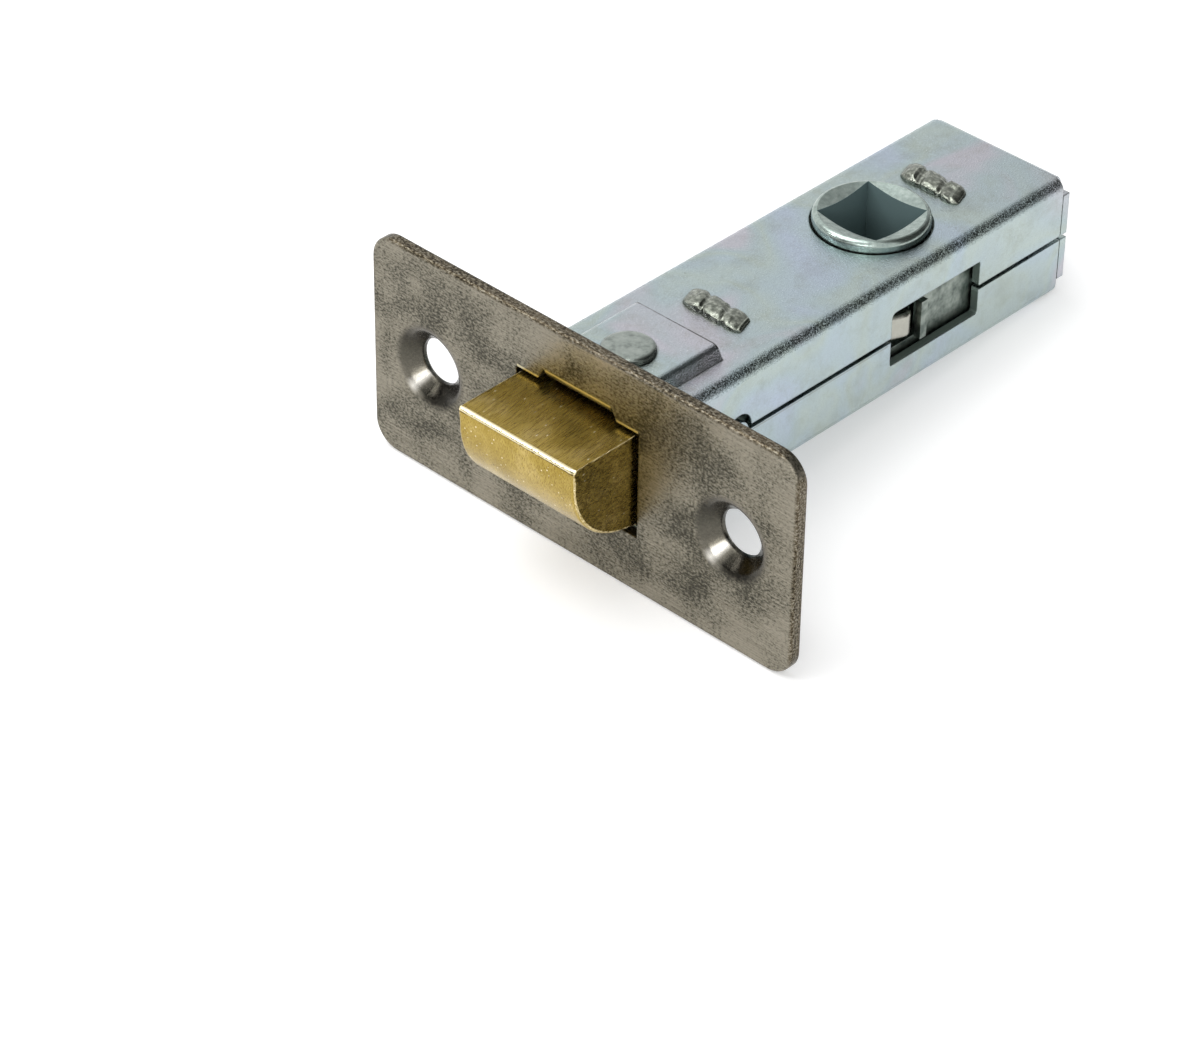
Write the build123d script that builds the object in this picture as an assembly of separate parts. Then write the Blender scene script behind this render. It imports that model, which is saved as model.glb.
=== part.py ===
from build123d import *
from math import asin, cos, degrees, radians, sin, sqrt
import os

# Tubular mortice latch, millimetres.
# +Y runs from the door edge into the door, +X across the faceplate, +Z along the follower's axis.
# The origin is on the faceplate's front face, on the bolt's axis.

# Faceplate
plate_length = 58.0
plate_height = 26.0
plate_thickness = 1.3
plate_corner_radius = 3.0
plate_edge_round = 0.35
screw_spacing = 41.5
screw_hole_diameter = 5.2
dimple_diameter = 8.4
dimple_lip_radius = 1.2
dimple_wall = 0.8
dimple_edge = 0.5
tongue_width = 9.0
tongue_reach = 12.0
tongue_corner_radius = 2.0
tongue_bend_radius = 0.3
notch_flare = 0.9
notch_round = 0.7

# Bolt
bolt_height = 11.7
bolt_projection = 8.6
bolt_body_length = 8.7
bolt_land = 2.1
bolt_nose_radius = 8.8
bolt_ramp_angle = 12.0
bolt_edge_chamfer = 0.35
bolt_side_clearance = 0.5
bolt_guide_clearance = 0.45
bolt_face_clearance = 0.45
bolt_travel = 8.0

# Case, two folded shells that meet at a seam
case_height = 14.3
case_end = 65.4
sheet = 1.0
bend_radius = 1.3
inner_bend_radius = 0.3
seam_gap = 0.5
corner_slit = 0.1
corner_relief = 0.6
pillar_slot_round = 0.5

# Pocket raised in the upper shell over the tongue
pocket_end = 14.3
pocket_side_clearance = 0.5
pocket_slope = 0.9
pocket_wall = 0.5
pocket_front_gap = 0.6
pocket_edge_round = 0.9

# Locating nib of the lower shell in a notch of the upper one
nib_position = 13.7
nib_radius = 1.45
nib_clearance = 0.45

# Follower, the hub that the spindle turns
backset = 44.0
spindle_square = 8.1
journal_diameter = 12.6
journal_clearance = 0.2
journal_stand = 1.3
journal_edge_round = 0.7
dish_depth = 0.5
hub_diameter = 13.6
hub_side_clearance = 0.3
hub_end_clearance = 0.2
lobe_inset = 0.6
lobe_rest_angle = 26.3
lobe_lean = 4.0
lobe_nose_radius = 1.1
lobe_width = 3.2
lobe_root_width = 5.0
lobe_corner_radius = 0.5
lobe_height = 3.0
lobe_chamfer = 0.3

# Side windows that the lobes swing through
window_front = 36.9
window_end_clearance = 0.1
window_height = 6.5
window_corner_radius = 0.3
window_front_radius = 0.6

# Tail, a steel stirrup riveted to the bolt
tail_sheet = 1.0
tail_side_clearance = 0.25
tail_web_height = 11.2
tail_arm_height = 8.4
tail_overrun = 3.1
tail_bend_radius = 0.2
flange_height = 4.6
flange_reach = 1.05
flange_gap = 0.1
lobe_free_play = 0.4
slot_ahead = 9.0
stop_tab_height = 3.6
stop_tab_overlap = 0.7
stop_gap = 0.15

# Pillars between the shells, staked over on the outside
pillar_thickness = 2.8
front_pillar_position = 20.2
rear_pillar_position = 53.9
pillar_body_width = 11.0
pillar_tenon_width = 7.0
pillar_tenon_thickness = 2.2
staked_head_width = 8.0
staked_head_thickness = 2.8
staked_head_height = 0.9
staked_lobe_width = 3.1
staked_lobe_corner = 0.6
staked_lobe_round = 0.5
spring_pip_diameter = 5.4
spring_pip_height = 1.5

# Bolt spring
spring_diameter = 8.0
spring_wire = 0.7
spring_wire_sides = 10
spring_turns = 7
spring_bore_diameter = 8.6
spring_bore_depth = 11.7

# Rivets
plate_rivet_position = 7.3
plate_rivet_shank = 2.6
plate_rivet_head = 5.7
plate_rivet_head_height = 0.75
plate_rivet_head_round = 0.45
plate_rivet_countersink = 3.8
tail_rivet_shank = 2.2
tail_rivet_head = 3.4
tail_rivet_depth = 4.5
tail_rivet_x = 5.6
tail_rivet_z = 3.2

# How far a cut runs past the face that it opens
overcut = 1.0

# Worked out from the sizes above
case_front = plate_thickness
roof = case_height / 2
tail_inner = hub_diameter / 2 + hub_side_clearance
tail_side = tail_inner + tail_sheet
inner_side = tail_side + tail_side_clearance
case_side = inner_side + sheet
case_width = 2 * case_side
ceiling = roof - sheet
seam = seam_gap / 2
bolt_width = 2 * (inner_side - bolt_guide_clearance)
aperture_side = bolt_width / 2 + bolt_side_clearance
aperture_top = bolt_height / 2 + bolt_face_clearance
tongue_top = aperture_top + plate_thickness
tongue_bend_centre = tongue_top + tongue_bend_radius
pocket_top = tongue_top + sheet
pocket_ceiling_side = tongue_width / 2 + pocket_side_clearance
web_front = bolt_body_length
web_rear = web_front + tail_sheet
lobe_radius = (case_side - lobe_inset - lobe_nose_radius) / cos(radians(lobe_rest_angle))
lobe_drop = lobe_radius * sin(radians(lobe_rest_angle))
follower_turn = lobe_rest_angle + degrees(asin((bolt_travel + lobe_free_play - lobe_drop) / lobe_radius))
flange_front = backset - lobe_drop + lobe_nose_radius + lobe_free_play + flange_gap
window_rear = flange_front + tail_sheet + bolt_travel + window_end_clearance
tail_end = window_rear + tail_overrun
hole_radius = journal_diameter / 2 + journal_clearance
journal_end = roof + journal_stand
pillar_front_face = front_pillar_position - pillar_thickness / 2
pillar_rear_face = front_pillar_position + pillar_thickness / 2


def box(x, y, z):
    """A block between two corners, given as three pairs of limits."""
    size = (x[1] - x[0], y[1] - y[0], z[1] - z[0])
    middle = (sum(x) / 2, sum(y) / 2, sum(z) / 2)
    return Pos(*middle) * Box(*size)


def along_y(section, start, end):
    """A section drawn in X and Z, run along the case from start to end."""
    return extrude(Plane.XZ.offset(-start) * section, amount=start - end)


def across_x(section, half_width):
    """A section drawn in Y and Z, run equally to both sides of the middle."""
    return extrude(Plane.YZ * section, amount=half_width, both=True)


def both_sides(solid):
    """The solid and its mirror image on the other side of the case."""
    return [solid, mirror(solid, Plane.YZ)]


def screw_dimple():
    """The pressed countersink around one screw hole, and the room to clear for it in the flat plate.

    Its section is sheet that turns down over a soft lip into a cone and ends at the pierced hole."""
    rim = dimple_diameter / 2 + dimple_lip_radius
    lip = dimple_diameter / 2
    bore = screw_hole_diameter / 2
    cone_depth = lip - bore
    slant = dimple_wall * sqrt(2)
    with BuildSketch() as section:
        with BuildLine():
            Polyline(
                (rim, 0),
                (lip, 0),
                (bore, -cone_depth),
                (bore, -cone_depth - dimple_edge),
                (bore + slant - dimple_edge, -cone_depth - dimple_edge),
                (lip + slant - plate_thickness, -plate_thickness),
                (rim, -plate_thickness),
                close=True,
            )
        make_face()
        fillet(section.vertices().sort_by_distance((lip, 0))[0], dimple_lip_radius)
        kink = (lip + slant - plate_thickness, -plate_thickness)
        fillet(section.vertices().sort_by_distance(kink)[0], dimple_lip_radius / 2)
    ring = revolve(Plane.XZ * section.sketch, axis=Axis.Z)
    return Rot(90, 0, 0) * ring, Rot(90, 0, 0) * Cylinder(rim, 4 * plate_thickness)


def tongue():
    """The tab lanced out of the bolt hole and bent back over the bolt, to be riveted to the case."""
    centre = (plate_thickness + tongue_bend_radius, tongue_bend_centre)
    outer = plate_thickness + tongue_bend_radius
    with BuildSketch() as section:
        with BuildLine():
            Line((0, centre[1]), (plate_thickness, centre[1]))
            RadiusArc((plate_thickness, centre[1]), (centre[0], tongue_top), -tongue_bend_radius)
            Line((centre[0], tongue_top), (tongue_reach, tongue_top))
            Line((tongue_reach, tongue_top), (tongue_reach, aperture_top))
            Line((tongue_reach, aperture_top), (centre[0], aperture_top))
            RadiusArc((centre[0], aperture_top), (0, centre[1]), outer)
        make_face()
    tab = across_x(section.sketch, tongue_width / 2)
    tips = tab.edges().filter_by(Axis.Z).group_by(Axis.Y)[-1]
    return fillet(tips, tongue_corner_radius)


def faceplate():
    """The door-edge plate: one piece of steel with two pressed screw holes and the tongue."""
    blank = along_y(RectangleRounded(plate_length, plate_height, plate_corner_radius), 0, plate_thickness)
    blank = fillet(blank.faces().sort_by(Axis.Y)[0].edges(), plate_edge_round)

    opening = Rectangle(2 * aperture_side, 2 * aperture_top)
    foot = tongue_width / 2 + notch_flare
    crown = tongue_width / 2
    notch = make_face(
        Polyline(
            (-foot, aperture_top - plate_thickness),
            (-foot, aperture_top),
            (-crown, tongue_bend_centre),
            (crown, tongue_bend_centre),
            (foot, aperture_top),
            (foot, aperture_top - plate_thickness),
            close=True,
        )
    )
    hole = opening + notch
    hole = fillet(hole.vertices().group_by(Axis.Y)[-1], notch_round)
    plate = blank - along_y(hole, -plate_thickness, 2 * plate_thickness)

    for side in (-1, 1):
        ring, room = screw_dimple()
        place = Pos(side * screw_spacing / 2, 0, 0)
        plate = plate - place * room + place * ring

    plate = plate + tongue()
    rivet_hole = Cylinder(plate_rivet_shank / 2, 3 * plate_thickness)
    rivet_hole = Pos(0, plate_rivet_position, tongue_top) * rivet_hole
    return plate - rivet_hole - plate_rivet_sink()


def plate_rivet_sink():
    """The cone at the tongue's lower face that the rivet's end is spread into, flush."""
    depth = (plate_rivet_countersink - plate_rivet_shank) / 2
    return Pos(0, plate_rivet_position, aperture_top + depth / 2) * Cone(
        plate_rivet_countersink / 2, plate_rivet_shank / 2, depth
    )


def faceplate_rivet():
    """Steel rivet that ties the faceplate's tongue to the raised pocket of the upper shell."""
    shank_length = pocket_top - aperture_top
    shank = Pos(0, 0, aperture_top + shank_length / 2) * Cylinder(plate_rivet_shank / 2, shank_length)
    head = Pos(0, 0, pocket_top + plate_rivet_head_height / 2) * Cylinder(
        plate_rivet_head / 2, plate_rivet_head_height
    )
    head = fillet(head.edges().group_by(Axis.Z)[-1], plate_rivet_head_round)
    return Pos(0, plate_rivet_position, 0) * (shank + head) + plate_rivet_sink()


def shell_blank():
    """One half of the case as folded sheet: roof, two side walls and the rear flange."""
    outside = box((-case_side, case_side), (case_front, case_end), (seam, roof))
    top = outside.faces().sort_by(Axis.Z)[-1]
    folds = top.edges().filter_by(Axis.Y) + top.edges().filter_by(Axis.X).sort_by(Axis.Y)[-1:]
    outside = fillet(folds, bend_radius)

    slit_end = case_end - sheet
    inside = box((-inner_side, inner_side), (case_front - overcut, slit_end), (seam - overcut, ceiling))
    top = inside.faces().sort_by(Axis.Z)[-1]
    folds = top.edges().filter_by(Axis.Y) + top.edges().filter_by(Axis.X).sort_by(Axis.Y)[-1:]
    inside = fillet(folds, inner_bend_radius)

    shell = outside - inside
    slit = box((inner_side, case_side + overcut), (slit_end - corner_slit, slit_end), (0, roof + overcut))
    relief_foot = roof - bend_radius - corner_relief
    relief = box(
        (case_side - bend_radius, case_side + overcut),
        (slit_end, case_end + overcut),
        (relief_foot, roof + overcut),
    )
    for opening in both_sides(slit) + both_sides(relief):
        shell -= opening
    return shell


def window_half(front_radius):
    """The part of a side window that is cut in one shell's walls, with its own front corner."""
    top = window_height / 2
    with BuildSketch() as outline:
        with Locations(((window_front + window_rear) / 2, 0)):
            Rectangle(window_rear - window_front, window_height)
        front_corner = outline.vertices().group_by(Axis.Y)[-1].sort_by(Axis.X)[0]
        fillet(front_corner, front_radius)
        rear_corner = outline.vertices().group_by(Axis.Y)[-1].sort_by(Axis.X)[-1]
        fillet(rear_corner, window_corner_radius)
    keep_above = box((-case_width, case_width), (0, case_end), (0, top + overcut))
    return across_x(outline.sketch, case_width) & keep_above


def pierced(shell):
    """The follower's hole and the two pillar slots in a shell's roof."""
    shell -= Pos(0, backset, roof) * Cylinder(hole_radius, 3 * sheet)
    for position in (front_pillar_position, rear_pillar_position):
        slot = Box(pillar_tenon_width, pillar_tenon_thickness, 3 * sheet)
        shell -= Pos(0, position, roof) * fillet(slot.edges().filter_by(Axis.Z), pillar_slot_round)
    return shell


def pocket():
    """The raised pocket over the tongue: its outside, and the room that it leaves below."""
    rise = pocket_top - roof
    crown = pocket_ceiling_side + pocket_wall
    foot = crown + pocket_slope
    start = case_front + pocket_front_gap
    with BuildSketch() as outer:
        with BuildLine():
            Polyline(
                (-foot, ceiling + pocket_wall),
                (-foot, roof),
                (-crown, pocket_top),
                (crown, pocket_top),
                (foot, roof),
                (foot, ceiling + pocket_wall),
                close=True,
            )
        make_face()
        fillet(outer.vertices().group_by(Axis.Y)[-1], pocket_edge_round)
    hollow_foot = pocket_ceiling_side + pocket_slope * (tongue_top - ceiling) / rise
    hollow = make_face(
        Polyline(
            (-hollow_foot, ceiling),
            (-pocket_ceiling_side, tongue_top),
            (pocket_ceiling_side, tongue_top),
            (hollow_foot, ceiling),
            close=True,
        )
    )
    raised = along_y(outer.sketch, start, pocket_end)
    room = along_y(hollow, 0, pocket_end) + box(
        (-hollow_foot, hollow_foot), (0, pocket_end), (seam, ceiling)
    )
    return raised, room


def upper_shell():
    """The case's upper half, with the pocket, the windows' upper halves and the nib's notches."""
    shell = pierced(shell_blank())
    raised, room = pocket()
    shell = shell + raised - room
    shell -= Pos(0, plate_rivet_position, pocket_top) * Cylinder(plate_rivet_shank / 2, 4 * sheet)
    shell -= window_half(window_front_radius)
    notch = Rot(0, 90, 0) * Cylinder(nib_radius + nib_clearance, 2 * case_width)
    return shell - Pos(0, nib_position, seam) * notch


def lower_shell():
    """The case's lower half: the same folded form upside down, with two locating nibs."""
    shell = pierced(shell_blank()) - window_half(window_corner_radius)
    nib = Rot(0, 90, 0) * Cylinder(nib_radius, sheet)
    for pip in both_sides(Pos(case_side - sheet / 2, nib_position, seam) * nib):
        shell += pip
    return mirror(shell, Plane.XY)


def pillar(position):
    """A flat steel pillar with a tenon at each end, staked over outside the shells."""
    body = Box(pillar_body_width, pillar_thickness, 2 * ceiling)
    tenon = Box(pillar_tenon_width, pillar_tenon_thickness, 2 * roof)
    tenon = fillet(tenon.edges().filter_by(Axis.Z), pillar_slot_round)
    upper = Pos(0, 0, roof) * staked_head()
    return Pos(0, position, 0) * (body + tenon + upper + mirror(upper, Plane.XY))


def staked_head():
    """The spread end of a tenon: three low lobes side by side, parted by the punch's two nicks."""
    lobe = Box(staked_lobe_width, staked_head_thickness, staked_head_height)
    lobe = Pos(0, 0, staked_head_height / 2) * lobe
    lobe = chamfer(lobe.edges().filter_by(Axis.Z), staked_lobe_corner)
    lobe = fillet(lobe.faces().sort_by(Axis.Z)[-1].edges(), staked_lobe_round)
    step = (staked_head_width - staked_lobe_width) / 2
    return lobe + Pos(-step, 0, 0) * lobe + Pos(step, 0, 0) * lobe


def front_pillar():
    """The pillar ahead of the follower, with a pip that centres the bolt spring's rear end."""
    pip = Rot(90, 0, 0) * Cylinder(spring_pip_diameter / 2, spring_pip_height)
    return pillar(front_pillar_position) + Pos(0, pillar_front_face - spring_pip_height / 2, 0) * pip


def bolt_head():
    """The brass bolt: a flat land, a rounded bevel and a ramp, bored from behind for its spring."""
    top = bolt_height / 2
    front = -bolt_projection
    slope = radians(bolt_ramp_angle)
    nose = (front + bolt_nose_radius, top - bolt_land)
    ramp_start = (nose[0] - bolt_nose_radius * sin(slope), nose[1] - bolt_nose_radius * cos(slope))
    ramp_end = (ramp_start[0] + (ramp_start[1] + top) / sin(slope) * cos(slope), -top)
    with BuildSketch() as profile:
        with BuildLine():
            Line((front, top), (front, nose[1]))
            RadiusArc((front, nose[1]), ramp_start, -bolt_nose_radius)
            Line(ramp_start, ramp_end)
            Polyline(ramp_end, (web_front, -top), (web_front, top), (front, top))
        make_face()
    body = across_x(profile.sketch, bolt_width / 2)
    sharp = body.edges().filter_by(Axis.X).sort_by_distance((0, front, top))[0]
    body = chamfer(sharp, bolt_edge_chamfer)

    bore = Rot(90, 0, 0) * Cylinder(spring_bore_diameter / 2, spring_bore_depth)
    body -= Pos(0, web_front - spring_bore_depth / 2, 0) * bore
    for rivet in tail_rivets():
        body -= rivet
    return body


def tail_rivets():
    """Two countersunk steel rivets, set diagonally through the web into the bolt's rear."""
    taper = (tail_rivet_head - tail_rivet_shank) / 2
    shank = Pos(0, 0, -tail_rivet_depth / 2) * Cylinder(tail_rivet_shank / 2, tail_rivet_depth)
    head = Pos(0, 0, -taper / 2) * Cone(tail_rivet_shank / 2, tail_rivet_head / 2, taper)
    rivet = Rot(-90, 0, 0) * (shank + head)
    return [Pos(side * tail_rivet_x, web_rear, side * tail_rivet_z) * rivet for side in (-1, 1)]


def tail_stirrup():
    """The steel tail: a web behind the bolt and two arms that run back past the follower.

    Each arm has a slot for a lobe, the slot's rear flap turned out as the flange that the lobe
    pushes, and a tab turned in that stops the bolt against the front pillar."""
    web_half = tail_web_height / 2
    arm_half = tail_arm_height / 2
    slot_half = flange_height / 2
    slot_rear = flange_front + tail_sheet + tail_bend_radius
    web = box((-tail_side, tail_side), (web_front, web_rear), (-web_half, web_half))
    arm = box((tail_inner, tail_side), (web_front, tail_end), (-arm_half, arm_half))
    slot = box((0, case_side), (flange_front - slot_ahead, slot_rear), (-slot_half, slot_half))
    flange = turned_flap(flange_front, flange_height, tail_side + flange_reach)

    tab_front = pillar_rear_face + stop_gap
    tab_reach = tail_inner - (pillar_body_width / 2 - stop_tab_overlap)
    tab_rear = tab_front + tail_sheet
    tab_half = stop_tab_height / 2
    relief = box((0, case_side), (tab_rear, tab_rear + tab_reach), (-tab_half, tab_half))
    tab = box((tail_inner - tab_reach, tail_side), (tab_front, tab_rear), (-tab_half, tab_half))
    side = arm - slot + flange - relief + tab
    stirrup = web
    for piece in both_sides(side):
        stirrup += piece
    corners = stirrup.edges().filter_by(Axis.Z).group_by(Axis.Y)[0]
    stirrup = fillet(corners, tail_sheet + tail_bend_radius)
    stirrup -= Pos(0, web_front, 0) * Rot(90, 0, 0) * Cylinder(spring_bore_diameter / 2, 4 * tail_sheet)
    for rivet in tail_rivets():
        stirrup -= rivet
    return stirrup


def turned_flap(front, height, reach):
    """The arm's flap bent outwards through a right angle, from its root in the arm to its tip."""
    outer = tail_sheet + tail_bend_radius
    rear = front + tail_sheet
    centre = (tail_side + tail_bend_radius, rear + tail_bend_radius)
    with BuildSketch() as section:
        with BuildLine():
            Line((tail_inner, centre[1]), (tail_side, centre[1]))
            RadiusArc((tail_side, centre[1]), (centre[0], rear), tail_bend_radius)
            Polyline((centre[0], rear), (reach, rear), (reach, front), (centre[0], front))
            RadiusArc((centre[0], front), (tail_inner, centre[1]), -outer)
        make_face()
    return extrude(section.sketch, amount=height / 2, both=True)


def bolt_spring():
    """The compression spring between the bottom of the bolt's bore and the front pillar.

    Its wire is drawn ten-sided, so that the coils, which the case hides, stay light."""
    start = web_front - spring_bore_depth + spring_wire / 2
    length = pillar_front_face - spring_wire / 2 - start
    coil_radius = (spring_diameter - spring_wire) / 2
    path = Helix(pitch=length / spring_turns, height=length, radius=coil_radius)
    wire_section = RegularPolygon(spring_wire / 2, spring_wire_sides)
    section = Plane(origin=path @ 0, z_dir=path % 0) * wire_section
    wire = sweep(section, path=path, is_frenet=True)
    return Pos(0, start, 0) * Rot(-90, 0, 0) * wire


def lobe():
    """One arm of the hub, drawn along X: a flat end, and the rounded corner that pushes the flange."""
    pushing_side = lobe_nose_radius - lobe_radius * sin(radians(lobe_lean))
    end = lobe_nose_radius + lobe_radius * cos(radians(lobe_lean))
    with BuildSketch() as outline:
        with BuildLine():
            Polyline(
                (0, pushing_side),
                (end, pushing_side),
                (end, pushing_side - lobe_width),
                (0, pushing_side - lobe_root_width),
                close=True,
            )
        make_face()
        fillet(outline.vertices().group_by(Axis.X)[-1].sort_by(Axis.Y)[-1], lobe_nose_radius)
        fillet(outline.vertices().group_by(Axis.X)[-1].sort_by(Axis.Y)[0], lobe_corner_radius)
    arm = extrude(outline.sketch, amount=lobe_height / 2, both=True)
    faces = arm.faces().sort_by(Axis.Z)
    return chamfer(faces[0].edges() + faces[-1].edges(), lobe_chamfer)


def follower():
    """The cast hub: a journal in each shell, a square socket with dished mouths, and two lobes."""
    hub_end = ceiling - hub_end_clearance
    journal = Cylinder(journal_diameter / 2, 2 * journal_end)
    journal = fillet(journal.edges(), journal_edge_round)
    hub = journal + Cylinder(hub_diameter / 2, 2 * hub_end)

    for arm in both_sides(Rot(0, 0, lobe_lean - lobe_rest_angle) * lobe()):
        hub += arm

    rim = spindle_square / sqrt(2)
    dish = Pos(0, 0, journal_end - dish_depth / 2) * Cone(spindle_square / 2, rim, dish_depth)
    hub -= Box(spindle_square, spindle_square, 3 * journal_end)
    hub = hub - dish - mirror(dish, Plane.XY)
    return Pos(0, backset, 0) * hub


rivet_left, rivet_right = tail_rivets()
pieces = {
    "faceplate": faceplate(),
    "faceplate_rivet": faceplate_rivet(),
    "upper_shell": upper_shell(),
    "lower_shell": lower_shell(),
    "front_pillar": front_pillar(),
    "rear_pillar": pillar(rear_pillar_position),
    "bolt_head": bolt_head(),
    "tail_stirrup": tail_stirrup(),
    "tail_rivet_left": rivet_left,
    "tail_rivet_right": rivet_right,
    "bolt_spring": bolt_spring(),
    "follower": follower(),
}

os.makedirs("parts", exist_ok=True)
for name, piece in pieces.items():
    export_step(piece, f"parts/{name}.step")
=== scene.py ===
import math
import bmesh
import bpy
from mathutils import Matrix, Vector, noise


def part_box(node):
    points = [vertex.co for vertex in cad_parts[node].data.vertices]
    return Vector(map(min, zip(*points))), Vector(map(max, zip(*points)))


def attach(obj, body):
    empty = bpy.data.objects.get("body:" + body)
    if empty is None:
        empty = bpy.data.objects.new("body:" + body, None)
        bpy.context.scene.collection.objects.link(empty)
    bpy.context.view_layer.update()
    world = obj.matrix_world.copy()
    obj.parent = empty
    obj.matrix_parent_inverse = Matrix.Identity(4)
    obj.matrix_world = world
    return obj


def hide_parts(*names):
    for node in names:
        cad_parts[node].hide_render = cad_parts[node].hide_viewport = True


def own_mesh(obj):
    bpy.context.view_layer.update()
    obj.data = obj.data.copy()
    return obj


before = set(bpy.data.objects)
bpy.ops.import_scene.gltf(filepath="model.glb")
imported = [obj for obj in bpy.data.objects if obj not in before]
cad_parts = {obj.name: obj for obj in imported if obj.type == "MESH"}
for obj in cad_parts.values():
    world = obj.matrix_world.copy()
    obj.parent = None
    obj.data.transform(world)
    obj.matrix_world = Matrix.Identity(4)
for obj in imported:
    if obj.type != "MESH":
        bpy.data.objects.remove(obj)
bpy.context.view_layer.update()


# Case shells
# Two channels of 1 mm mild steel, blanked and folded, then barrel plated in bright zinc with a clear
# blue passivate. The plating is slightly iridescent, and its grain shows where the folds turn the light.

MM = 0.001


def linear(hex_colour):
    """An sRGB hex colour as linear red, green, blue and alpha."""
    channels = [int(hex_colour[i:i + 2], 16) / 255 for i in (1, 3, 5)]
    return [c / 12.92 if c <= 0.04045 else ((c + 0.055) / 1.055) ** 2.4 for c in channels] + [1.0]


def add(tree, kind, inputs=None, **settings):
    """Adds a node with its settings. An input is given a value, or another node's output to link."""
    node = tree.nodes.new(kind)
    for name, value in settings.items():
        setattr(node, name, value)
    for socket, value in (inputs or {}).items():
        if isinstance(value, bpy.types.NodeSocket):
            tree.links.new(value, node.inputs[socket])
        else:
            node.inputs[socket].default_value = value
    return node


def new_material(name):
    """An empty metal material: its tree and its shader, already joined to the output."""
    material = bpy.data.materials.new(name)
    material.use_nodes = True
    tree = material.node_tree
    tree.nodes.clear()
    shader = add(tree, "ShaderNodeBsdfPrincipled", {"Metallic": 1.0})
    add(tree, "ShaderNodeOutputMaterial", {"Surface": shader.outputs[0]})
    return material, tree, shader


def ramp(tree, factor, stops):
    """A colour ramp over a factor, from (position, hex colour) stops."""
    node = add(tree, "ShaderNodeValToRGB", {"Fac": factor})
    band = node.color_ramp
    while len(band.elements) < len(stops):
        band.elements.new(0.5)
    for element, (position, colour) in zip(band.elements, stops):
        element.position = position
        element.color = linear(colour)
    return node.outputs[0]


def per_mm(size_mm):
    """The texture scale, per metre, whose features measure this many millimetres."""
    return 1 / (size_mm * MM)


PASSIVATE_CLOUD_MM = 12
DIRT_MM = 3.5
PLATING_GRAIN_MM = 0.16
CREVICE_MM = 0.45
POCKET_EDGE_MM = 14.24
POCKET_FROM_MM = 8.2
EDGE_SHADE_WIDTH_MM = 0.09
SHEARED_FACE_MM = (8.84, 0.44)
SHEARED_HEIGHT_MM = (2.6, 1.9)
WINDOW_SPAN_MM = (44.0, 8.0)
WITNESS_LINE_MM = (-0.48, 0.07)
WITNESS_END_MM = 36.5
FOLD_FROM_MM = (8.2, 6.0)
SOFT_FOLD_MM = 0.25
SCRATCH_LENGTH_MM = 9
SCRATCH_WIDTH_MM = 0.12
PIT_SPACING_MM = 2.6

bright_zinc, tree, shader = new_material("bright_zinc_plate_blue_passivate")
place = add(tree, "ShaderNodeTexCoord").outputs["Object"]

# The passivate film: slow clouds of blue, straw and faint pink over pale zinc
clouds = add(tree, "ShaderNodeTexNoise", {
    "Vector": place, "Scale": per_mm(PASSIVATE_CLOUD_MM), "Detail": 2.5, "Roughness": 0.45,
    "Distortion": 0.6})
film = ramp(tree, clouds.outputs["Fac"], [
    (0.32, "#b4c0cf"), (0.43, "#b2c1c6"), (0.50, "#b5c2bf"), (0.57, "#b1bfc3"), (0.68, "#bfbfc7")])
grain = add(tree, "ShaderNodeTexNoise", {
    "Vector": place, "Scale": per_mm(PLATING_GRAIN_MM), "Detail": 3.0, "Roughness": 0.65})
grained = add(tree, "ShaderNodeMix", {
    "Factor": 0.16, "A": film,
    "B": ramp(tree, grain.outputs["Fac"], [(0.34, "#7f8783"), (0.62, "#ffffff")])},
    data_type="RGBA", blend_type="MULTIPLY")
dirt = add(tree, "ShaderNodeTexNoise", {
    "Vector": place, "Scale": per_mm(DIRT_MM), "Detail": 6.0, "Roughness": 0.7})
stained = add(tree, "ShaderNodeMix", {
    "Factor": 0.25, "A": grained.outputs["Result"],
    "B": ramp(tree, dirt.outputs["Fac"], [(0.48, "#ffffff"), (0.62, "#d6cfbd"), (0.74, "#a39b88")])},
    data_type="RGBA", blend_type="MULTIPLY")

# Handling marks: sparse dark pits, and short scratches that run mostly along the case
pits = add(tree, "ShaderNodeTexVoronoi", {
    "Vector": place, "Scale": per_mm(PIT_SPACING_MM), "Randomness": 1.0})
pit_pick = add(tree, "ShaderNodeMath", {0: pits.outputs["Color"], 1: 0.72}, operation="GREATER_THAN")
pit_size = add(tree, "ShaderNodeMapRange", {
    "Value": pits.outputs["Distance"], "From Min": 0.03, "From Max": 0.075, "To Min": 1.0, "To Max": 0.0})
pit_mask = add(tree, "ShaderNodeMath", {
    0: pit_pick.outputs[0], 1: pit_size.outputs[0]}, operation="MULTIPLY")
pitted = add(tree, "ShaderNodeMix", {
    "Factor": pit_mask.outputs[0], "A": stained.outputs["Result"], "B": linear("#5a605c")},
    data_type="RGBA")
# Painted shade: ambient occlusion darkens the plating in the creases round the heads, the rivet and the
# collar
crevice = add(tree, "ShaderNodeAmbientOcclusion", {"Distance": CREVICE_MM * MM}, samples=8)
crevice_shaded = add(tree, "ShaderNodeMix", {
    "Factor": 1.0, "A": pitted.outputs["Result"],
    "B": ramp(tree, crevice.outputs["AO"], [(0.30, "#39423a"), (0.72, "#d9dcd4"), (0.90, "#ffffff")])},
    data_type="RGBA", blend_type="MULTIPLY")
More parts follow.
